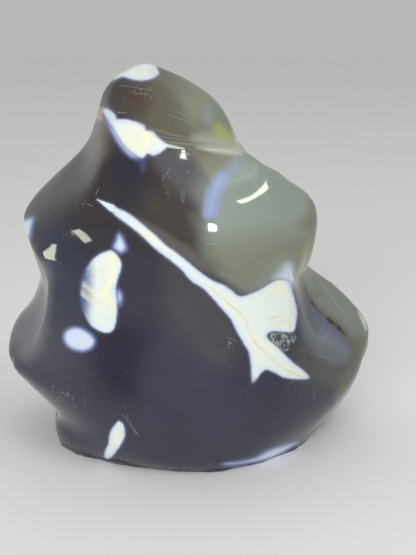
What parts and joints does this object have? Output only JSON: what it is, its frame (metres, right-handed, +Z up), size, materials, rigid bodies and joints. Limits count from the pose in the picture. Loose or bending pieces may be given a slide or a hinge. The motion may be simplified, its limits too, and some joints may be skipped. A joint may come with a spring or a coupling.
{
  "type": "agate flame carving",
  "caption": "Free-standing flame carved from one piece of dark agate with white patches: a hooded tip, folded side lobes, all polished, and a flat foot to rest on.",
  "frame": {"origin": "on the plane of the flat foot, under the middle of the stone's box", "axes": "+Z up from the foot to the tip, -Y out of the broad front panel with the large white branching streak, +X to the right when the front is seen, towards the wing"},
  "size_m": [0.1754, 0.0982, 0.1729],
  "materials": {
    "polished_agate": "polished"
  },
  "bodies": {
    "root": {"flame_carving": "polished_agate"}
  },
  "joints": []
}
